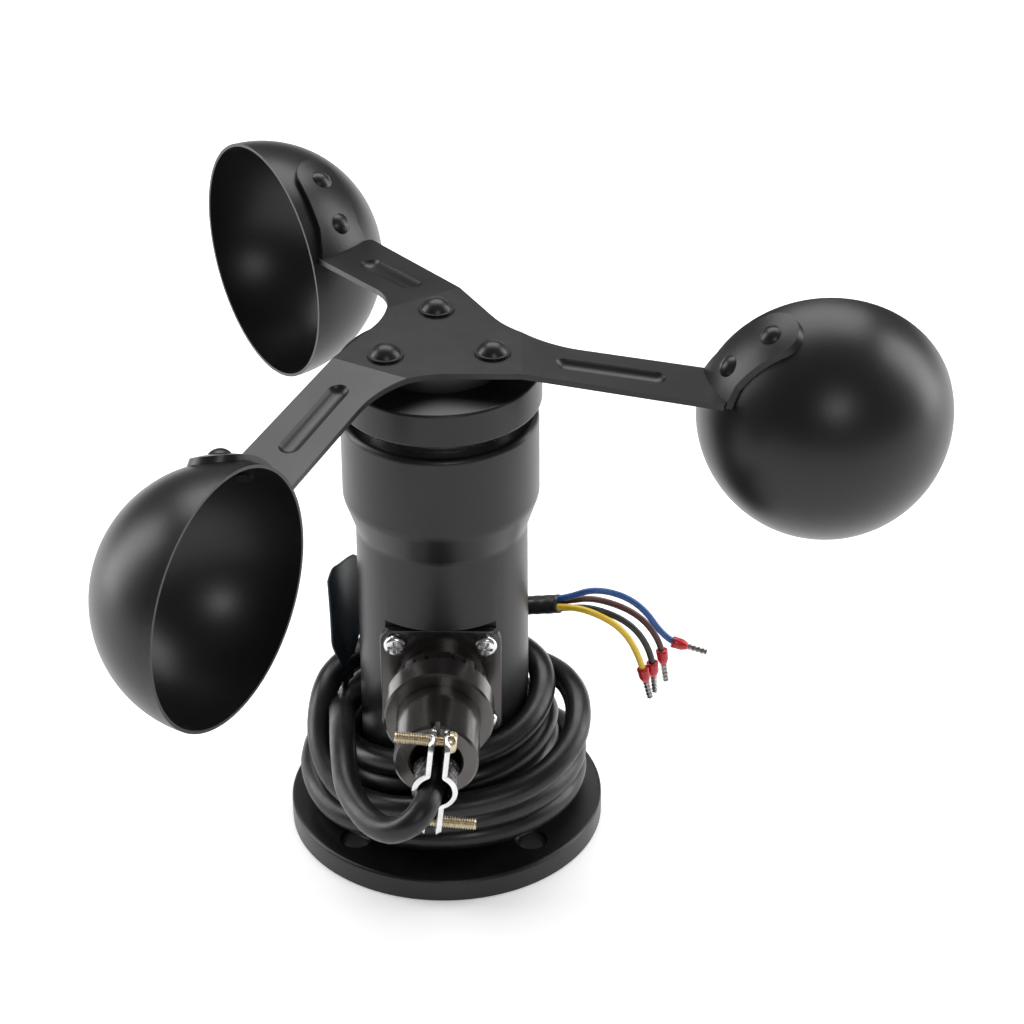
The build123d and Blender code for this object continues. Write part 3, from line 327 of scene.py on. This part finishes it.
jacket = finish("cable_jacket", (0.0045, 0.0045, 0.005), 0.38, tone=0.2, gloss=0.07, fine=1400, slow=220,
                bump=0.00002, dust=0.04, specular=0.42)
sleeve = finish("heat_shrink_sleeve", (0.017, 0.017, 0.018), 0.36, tone=0.2, fine=900, slow=300, bump=0.00005)
core_finishes = {
    "blue": finish("core_blue", (0.012, 0.075, 0.26), 0.33, tone=0.12, slow=300, bump=0.00001),
    "brown": finish("core_brown", (0.085, 0.028, 0.020), 0.33, tone=0.12, slow=300, bump=0.00001),
    "black": finish("core_black", (0.008, 0.007, 0.007), 0.33, tone=0.12, slow=300, bump=0.00001),
    "yellow": finish("core_yellow", (0.72, 0.48, 0.035), 0.33, tone=0.08, slow=300, bump=0.00001),
}
ferrule_red = finish("ferrule_red", (0.46, 0.012, 0.022), 0.25, tone=0.1, slow=400, bump=0.00001)
ferrule_tin = finish("ferrule_tin", (0.30, 0.29, 0.28), 0.3, metallic=1.0, tone=0.15, slow=900, bump=0.00001)
tag_film = finish("tag_film", (0.012, 0.019, 0.027), 0.5, tone=0.18, gloss=0.06, fine=700, slow=80, bump=0.00002,
                  specular=0.35)
board_green = finish("board_resist", (0.02, 0.16, 0.06), 0.35, tone=0.15, slow=200)
moulded = finish("moulded_black", (0.03, 0.03, 0.03), 0.45, tone=0.15, slow=400)
felt = finish("felt_ring", (0.25, 0.25, 0.24), 0.95, tone=0.3, fine=1200, slow=300, bump=0.0002)

node_finish = {
    "zinc": bright_zinc, "steel": ground_steel, "ball_steel": ball_steel, "brass": brass,
    "aluminium": aluminium, "rubber": rubber, "black_coat": black_coat, "connector_shell": dark_zinc,
    "cable_jacket": jacket, "heat_shrink": sleeve, "ferrule_red": ferrule_red, "ferrule_tin": ferrule_tin,
    "tag": tag_film, "board": board_green, "electronics": moulded, "insulator": moulded, "felt": felt,
    **{f"core_{colour}": material for colour, material in core_finishes.items()},
}
for part in frame["record"]["subparts"]:
    obj = nodes[part["node"]]
    obj.data.materials.clear()
    obj.data.materials.append(node_finish[part["material_slot"]])

# ---- Camera ----
camera = link(bpy.data.objects.new("camera", bpy.data.cameras.new("camera")))
camera.data.sensor_width = 36.0
camera.data.lens = 129.5
camera.location = (0.03648, -0.77347, 0.57052)
target = Vector((0.01742, 0.0, 0.09050))
aim = (target - camera.location).to_track_quat("-Z", "Y").to_matrix()
camera.rotation_euler = (aim @ Matrix.Rotation(math.radians(-0.416), 3, "Z")).to_euler()
bpy.context.scene.camera = camera

# ---- Cable: lead, high loop, coil and tail on one spline ----
LEAD = [
    (0.0, -0.045, 0.0502),
    (0.0, -0.068, 0.0502),
    (-0.011, -0.068, 0.0405),
    (-0.0215, -0.052, 0.0405),
    (-0.024, -0.033, 0.0425),
    (-0.0255, -0.012, 0.038),
    (-0.027, 0.004, 0.0295),
    (-0.020, 0.021, 0.028),
    (-0.003, 0.0295, 0.029),
    (0.014, 0.025, 0.032),
    (0.026, 0.0155, 0.0345),
]
HIGH_LOOP = [
    (0.0325, 0.004, 0.0363),
    (0.0345, -0.007, 0.0353),
    (0.0325, -0.018, 0.0323),
    (0.0240, -0.029, 0.0290),
]
# Turn angle in degrees, radius and height of the cable's middle, in millimetres.
COIL_MARKS = [
    (-72, 36.2, 26.8), (-100, 35.0, 24.6), (-130, 34.4, 20.6), (-150, 33.8, 22.4), (-163, 33.8, 27.5),
    (-174, 33.2, 33.5), (-186, 31.0, 37.2), (-200, 29.5, 37.6), (-215, 29.0, 37.2), (-270, 27.5, 36.2),
    (-320, 25.8, 39.2), (-345, 25.4, 40.4), (-365, 25.4, 39.0), (-405, 25.4, 35.0), (-450, 25.6, 33.0),
    (-495, 25.6, 28.6), (-540, 25.6, 23.2), (-630, 26.2, 21.6), (-690, 26.2, 26.9), (-720, 26.2, 31.2),
    (-765, 25.8, 28.6), (-810, 25.6, 26.4), (-855, 25.6, 21.9), (-900, 25.6, 16.5), (-990, 26.6, 14.9),
    (-1050, 26.4, 20.3), (-1080, 26.4, 24.5), (-1170, 25.6, 19.7), (-1215, 25.6, 15.2), (-1260, 25.7, 9.95),
    (-1350, 31.8, 10.0), (-1400, 33.0, 15.0), (-1440, 33.6, 20.4), (-1530, 32.8, 19.8), (-1550, 33.4, 17.2),
    (-1570, 34.6, 13.7), (-1590, 35.0, 14.8), (-1620, 34.8, 16.6), (-1665, 33.8, 17.8), (-1710, 33.8, 16.8),
    (-1800, 33.6, 13.6), (-1890, 30.6, 13.2), (-1910, 29.6, 11.0), (-1930, 29.0, 10.0), (-1950, 31.2, 10.0),
    (-1980, 32.6, 10.0), (-2005, 37.0, 12.0), (-2022, 40.6, 16.5), (-2038, 40.6, 25.5),
]
COIL_STEP = 22.5
TAIL = [
    (-0.013, 0.0352, 0.0340),
    (-0.004, 0.0335, 0.0405),
    (0.0073, 0.0255, 0.0453),
    (0.0169, 0.0213, 0.0487),
]


def coil_turns():
    """Points round the tube: radius and height run evenly between the marks as the angle falls."""
    marks = np.array(COIL_MARKS[::-1], float)
    angles = np.arange(marks[-1, 0], marks[0, 0], -COIL_STEP)
    radius = np.interp(angles, marks[:, 0], marks[:, 1]) * MM
    height = np.interp(angles, marks[:, 0], marks[:, 2]) * MM
    turn = np.radians(angles)
    return [tuple(p) for p in np.stack([radius * np.cos(turn), radius * np.sin(turn), height], axis=1)]


cable = spline_curve("signal_cable", LEAD + HIGH_LOOP + coil_turns() + TAIL, CABLE_RADIUS, jacket)
cable_length = spline_length(cable)
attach(cable, "root")
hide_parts("cable_lead", "cable_coil", "cable_tail")

# Heat-shrink sleeve: it grips the end of the sheath and narrows over the four cores.
tail_end = Vector(TAIL[-1])
tail_direction = (tail_end - Vector(TAIL[-2])).normalized()
sleeve_at = np.concatenate(
    [np.linspace(-SLEEVE_GRIP, 0.3 * MM, 16), np.linspace(0.5 * MM, SLEEVE_LENGTH, 44)]
)
sleeve_line = np.array(tail_end) + sleeve_at[:, None] * np.array(tail_direction)
narrowing = np.clip(sleeve_at / SLEEVE_TAPER, 0, 1)
narrowing = narrowing**2 * (3 - 2 * narrowing)
grip_radius = CABLE_RADIUS + SLEEVE_WALL
sleeve_radii = grip_radius + (SLEEVE_RADIUS - grip_radius) * narrowing
sleeve_radii += 0.04 * MM * np.sin(sleeve_at / MM * 1.9)
sleeve_radii[0] = CABLE_RADIUS + 0.08 * MM
sleeve_radii[-1] -= 0.2 * MM
heat_shrink = tube_along("heat_shrink_sleeve", sleeve_line, sleeve_radii, sleeve, columns=40)
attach(heat_shrink, "root")
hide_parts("heat_shrink")

# ---- Four cores with crimped ferrules ----
level_side = Vector((tail_direction.y, -tail_direction.x, 0)).normalized()
core_down = tail_direction.cross(level_side)
CORES = {
    "blue": [(0, -1), (0.0385, 0.0158, 0.0582), (0.0495, 0.0156, 0.0540), (0.0563, 0.0154, 0.0426),
             (0.0596, 0.0154, 0.0414)],
    "brown": [(-1, 0), (0.0380, 0.0170, 0.0544), (0.0490, 0.0170, 0.0498), (0.0550, 0.0166, 0.0416),
              (0.0556, 0.0164, 0.0371)],
    "black": [(0, 1), (0.0380, 0.0128, 0.0540), (0.0475, 0.0126, 0.0494), (0.0526, 0.0130, 0.0406),
              (0.0531, 0.0132, 0.0354)],
    "yellow": [(1, 0), (0.0370, 0.0110, 0.0542), (0.0452, 0.0109, 0.0490), (0.0496, 0.0109, 0.0404),
               (0.0508, 0.0109, 0.0352)],
}


def ferrule(colour, end, direction):
    """A moulded collar that narrows in a cone, and a crimped tin tube: both are round profiles along a line,
    and the tube's section is squeezed towards a square with shallow crimp marks."""
    collar_at = np.array([-1.7, -1.65, -1.5, -0.4, 0.5, 1.2, 1.9, 2.5, 2.6]) * MM
    collar_radii = np.array([0.95, 1.4, 1.55, 1.5, 1.5, 1.45, 1.15, 0.95, 0.6]) * MM
    line = np.array([tuple(end + direction * float(s)) for s in collar_at])
    collar = tube_along(f"ferrule_collar_{colour}", line, collar_radii, ferrule_red, columns=28)
    at = np.linspace(2.2, 7.8, 60) * MM
    line = np.array([tuple(end + direction * float(s)) for s in at])
    _, side, up = axes_along(line)
    turn = np.linspace(0, 2 * np.pi, 32, endpoint=False)
    crimps = 0.2 * MM * np.clip(np.sin(at / MM * 2 * np.pi / 1.15), 0, 1)
    square = 1.0 + 0.10 * np.cos(4 * turn)
    radii = (0.78 * MM - crimps)[:, None] * square[None, :]
    radii[-3:] *= np.array([0.97, 0.9, 0.75])[:, None]
    ring = side[:, None] * np.cos(turn)[None, :, None] + up[:, None] * np.sin(turn)[None, :, None]
    blade = surface_piece(f"ferrule_tube_{colour}", line[:, None] + ring * radii[..., None], ferrule_tin,
                          wrap=True, caps=True)
    return collar, blade


for colour, (lay, *bends) in CORES.items():
    offset = (level_side * lay[0] + core_down * lay[1]) * CORE_LAY
    start = tail_end - tail_direction * INSIDE_SHEATH + offset
    mouth = tail_end + tail_direction * (SLEEVE_LENGTH + 1.5 * MM) + offset
    route = [tuple(start), tuple(tail_end - tail_direction * 1.0 * MM + offset), tuple(mouth), *bends]
    core = spline_curve(f"core_{colour}_wire", route, CORE_RADIUS, core_finishes[colour])
    core_length = spline_length(core)
    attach(core, "root")
    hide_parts(f"core_{colour}")
    collar, blade = ferrule(colour, Vector(bends[-1]), (Vector(bends[-1]) - Vector(bends[-2])).normalized())
    for piece, node, slot in ((collar, "ferrule_collars", "ferrule_red"), (blade, "ferrule_tubes", "ferrule_tin")):
        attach(piece, "root")
        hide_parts(node)

# ---- Cable clamp: stamped saddles and their two screws ----
clamp_x = Vector((math.cos(CLAMP_LEAN), 0, math.sin(CLAMP_LEAN)))
clamp_y = Vector((-math.sin(CLAMP_LEAN), 0, math.cos(CLAMP_LEAN)))
clamp_out = Vector((0, -1, 0))
clamp_origin = Vector((0, -SHELL_FRONT, CLAMP_HEIGHT))


def clamp_points(across, upward, outward):
    """Places arrays of clamp coordinates (across the cable, up the saddle, out of the plug) in the frame."""
    across, upward, outward = np.broadcast_arrays(across, upward, outward)
    return (np.array(clamp_origin) + across[..., None] * np.array(clamp_x)
            + upward[..., None] * np.array(clamp_y) + outward[..., None] * np.array(clamp_out))


def saddle(name, side):
    """A stamped strip: flat ears and a round saddle over the cable in the middle. Its reach across is a
    softened maximum of the ear gap and the circle round the cable; its depth shrinks towards each end."""
    soften = 0.3 * MM
    v = np.linspace(-SADDLE_REACH, SADDLE_REACH, 141)
    round_part = np.sqrt(np.clip(SADDLE_BULGE**2 - v**2, 0, None))
    across = side * soften * np.log(np.exp(round_part / soften) + np.exp(SADDLE_GAP / soften))
    end = np.clip((np.abs(v) - (SADDLE_REACH - 3.0 * MM)) / (3.0 * MM), 0, 1)
    half = CLAMP_DEPTH / 2 * np.sqrt(np.clip(1 - 0.93 * end**2, 0.0, 1))
    w = np.linspace(-1, 1, 25)
    lip = 0.35 * MM * side * (w[None, :] ** 6)
    outward = CLAMP_DEPTH / 2 + 0.1 * MM + half[:, None] * w[None, :]
    points = clamp_points(across[:, None] + lip, v[:, None] + 0 * w[None, :], outward)
    piece = surface_piece(name, points, bright_zinc)
    thick = piece.modifiers.new("strip", "SOLIDIFY")
    thick.thickness = SADDLE_STRIP
    thick.offset = 0.0
    soft = piece.modifiers.new("rolled_edge", "BEVEL")
    soft.width = 0.22 * MM
    soft.segments = 3
    soft.limit_method = "ANGLE"
    soft.angle_limit = math.radians(50)
    return piece


for side, word in ((-1, "left"), (1, "right")):
    piece = saddle(f"stamped_saddle_{word}", side)
    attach(piece, "root")
    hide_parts(f"clamp_saddle_{word}")


def threaded_rod(name, place, start, end, radius, pitch, material):
    """A threaded rod along one axis: the radius falls from the crest to the root and back once a pitch,
    and the crest moves along by one pitch as the angle goes once round. place(across, a, b) gives its frame."""
    steps = int((end - start) / pitch * 10)
    along = np.linspace(start, end, steps)[:, None]
    turn = np.linspace(0, 2 * np.pi, 36, endpoint=False)[None, :]
    phase = (along / pitch - turn / (2 * np.pi)) % 1.0
    tooth = np.abs(phase - 0.5) * 2
    ends = np.clip((np.minimum(along - start, end - along)) / (0.7 * pitch), 0, 1)
    r = radius - 0.55 * pitch * np.clip(tooth * 1.25 - 0.1, 0, 1) * ends - 0.3 * pitch * (1 - ends)
    points = place(along + 0 * turn, r * np.cos(turn), r * np.sin(turn))
    return surface_piece(name, points, material, wrap=True, caps=True)


def pan_head(name, place, radius, height, recess, material, square=False):
    """A pan head: height follows a rounded profile of the distance from the middle, less the driver recess,
    whose depth falls off at its walls. place(out, a, b) gives its frame; out is away from the seat."""
    rings = np.concatenate([np.linspace(0.0, 0.72, 56), np.linspace(0.74, 1.0, 16)])
    rho = (rings * radius)[:, None]
    turn = np.linspace(0, 2 * np.pi, 144, endpoint=False)[None, :]
    a, b = rho * np.cos(turn), rho * np.sin(turn)
    top = height * (1 - 0.12 * (rho / radius) ** 2) * np.sqrt(np.clip(1 - (rho / radius) ** 8, 0, 1))
    half_width, reach, depth = recess
    wall = 0.12 * MM
    slot_a = np.clip((half_width - np.abs(b)) / wall, 0, 1) * np.clip((reach - np.abs(a)) / (3 * wall), 0, 1)
    slot_b = np.clip((half_width - np.abs(a)) / wall, 0, 1) * np.clip((reach - np.abs(b)) / (3 * wall), 0, 1)
    cut = np.maximum(slot_a, slot_b if square else 0.0)
    out = np.maximum(top - depth * cut, 0.05 * MM)
    out[-1] = 0.0
    points = place(out, a, b)
    return surface_piece(name, points, material, wrap=True)


def clamp_screw(index, side):
    """One clamp screw: its thread reaches across both saddles, and its slotted head sits on the far side."""
    middle = side * CLAMP_SCREW_OFFSET

    def rod_place(along, a, b):
        return clamp_points(side * along, middle + a, CLAMP_DEPTH / 2 + b)

    rod = threaded_rod(f"clamp_rod_{index}", rod_place, -CLAMP_THREAD_FAR, CLAMP_THREAD_NEAR,
                       CLAMP_SCREW_RADIUS, CLAMP_PITCH, brass)

    def head_place(out, a, b):
        return clamp_points(side * (CLAMP_SEAT + out), middle + a, CLAMP_DEPTH / 2 + b)

    head = pan_head(f"clamp_head_{index}", head_place, CLAMP_HEAD_RADIUS, CLAMP_HEAD_HEIGHT,
                    (0.4 * MM, 4.0 * MM, 0.9 * MM), brass)
    return [rod, head]


clamp_parts = clamp_screw(0, -1) + clamp_screw(1, 1)
clamp_screws = join_pieces("clamp_screw_pair", clamp_parts)
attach(clamp_screws, "root")
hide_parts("clamp_screws")

# ---- Four cross-recessed screws on the receptacle flange ----
flange_screw_parts = []
for column in (-1, 1):
    for row in (-1, 1):
        spin = math.radians(20 + 35 * column + 17 * row)

        def seat_place(out, a, b, column=column, row=row, spin=spin):
            x = column * PORT_SCREW_OFFSET + a * math.cos(spin) - b * math.sin(spin)
            z = PORT_HEIGHT + row * PORT_SCREW_OFFSET + a * math.sin(spin) + b * math.cos(spin)
            return np.stack(np.broadcast_arrays(x, -FLANGE_FRONT - out, z), axis=-1)

        flange_screw_parts.append(pan_head(
            f"flange_head_{column}_{row}", seat_place, PORT_HEAD_RADIUS, PORT_HEAD_HEIGHT,
            (0.38 * MM, 1.75 * MM, 1.2 * MM), bright_zinc, square=True))
        flange_screw_parts.append(threaded_rod(
            f"flange_rod_{column}_{row}", seat_place, -PORT_SCREW_LENGTH, -0.02 * MM, PORT_SCREW_RADIUS,
            0.5 * MM, bright_zinc))
flange_screws = join_pieces("flange_screws", flange_screw_parts)
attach(flange_screws, "root")
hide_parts("receptacle_screws")

# ---- Flag tag standing on the coil ----
TAG_HEADING = Vector((7, 17, 0)).normalized()
TAG_NORMAL = Vector((17, -7, 0)).normalized()
TAG_CORNER = Vector((-28.9, 1.2, 0)) * MM


def flag_tag():
    """The flag: its near edge comes in towards the foot and is straight above it, its top slopes down to the
    back, both top corners are rounded, and it is bowed gently by a sine over its height."""
    height = np.linspace(0.0, 1.0, 81)[:, None]
    across = np.linspace(0.0, 1.0, 49)[None, :]
    foot = np.clip((0.52 - height) / 0.38, 0, 1)
    foot = foot**2 * (3 - 2 * foot)
    near = 6.0 * MM * foot
    far = TAG_WIDTH - 5.5 * MM * foot
    u = near + (far - near) * across
    near_corner = 3.6 * MM * np.clip((0.22 - across) / 0.22, 0, 1) ** 2.2
    far_corner = 2.5 * MM * np.clip((across - 0.85) / 0.15, 0, 1) ** 2.2
    top = TAG_TOP - 0.286 * u - near_corner - far_corner
    z = TAG_FOOT + (top - TAG_FOOT) * height
    bow = 0.5 * MM * np.sin(np.pi * height) + 0.3 * MM * np.sin(2 * np.pi * across)
    points = np.array(TAG_CORNER) + u[..., None] * np.array(TAG_HEADING)
    points = points + bow[..., None] * np.array(TAG_NORMAL)
    points[..., 2] = z
    return points


tag = surface_piece("flag_tag", flag_tag(), tag_film)
thick = tag.modifiers.new("film", "SOLIDIFY")
thick.thickness = TAG_FILM
thick.offset = 0.0
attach(tag, "root")
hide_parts("cable_tag")

# ---- Floor and light ----
floor_material = finish("pale_floor", (0.92, 0.92, 0.92), 0.9, tone=0.005, bump=0.0, specular=0.0)
floor_shader = floor_material.node_tree.nodes["Principled BSDF"]
floor_shader.inputs["Emission Color"].default_value = (1, 1, 1, 1)
floor_shader.inputs["Emission Strength"].default_value = 0.35
floor = mesh_piece("floor", [(-6, -6, 0), (6, -6, 0), (6, 6, 0), (-6, 6, 0)], [(0, 1, 2, 3)], floor_material)


def soft_box(name, place, aim_at, width, height, power):
    light = bpy.data.lights.new(name, "AREA")
    light.shape = "RECTANGLE"
    light.size, light.size_y = width, height
    light.energy = power
    obj = link(bpy.data.objects.new(name, light))
    obj.location = place
    obj.rotation_euler = (Vector(aim_at) - Vector(place)).to_track_quat("-Z", "Y").to_euler()
    return obj


soft_box("left_box", (-0.95, 0.25, 0.40), (0, 0, 0.10), 0.45, 1.0, 7.5)
soft_box("right_box", (0.95, 0.30, 0.45), (0, 0, 0.10), 0.45, 1.0, 7.5)
soft_box("top_box", (0.0, 0.75, 1.35), (0, 0.1, 0), 1.6, 0.9, 20)
soft_box("front_box", (0.35, -1.5, 1.1), (0, 0, 0.1), 0.5, 0.4, 5)
world = bpy.data.worlds.new("studio")
world.use_nodes = True
world.node_tree.nodes["Background"].inputs["Color"].default_value = (1, 1, 1, 1)
world.node_tree.nodes["Background"].inputs["Strength"].default_value = 0.16
bpy.context.scene.world = world
bpy.context.scene.view_settings.view_transform = "Standard"

bpy.context.view_layer.update()
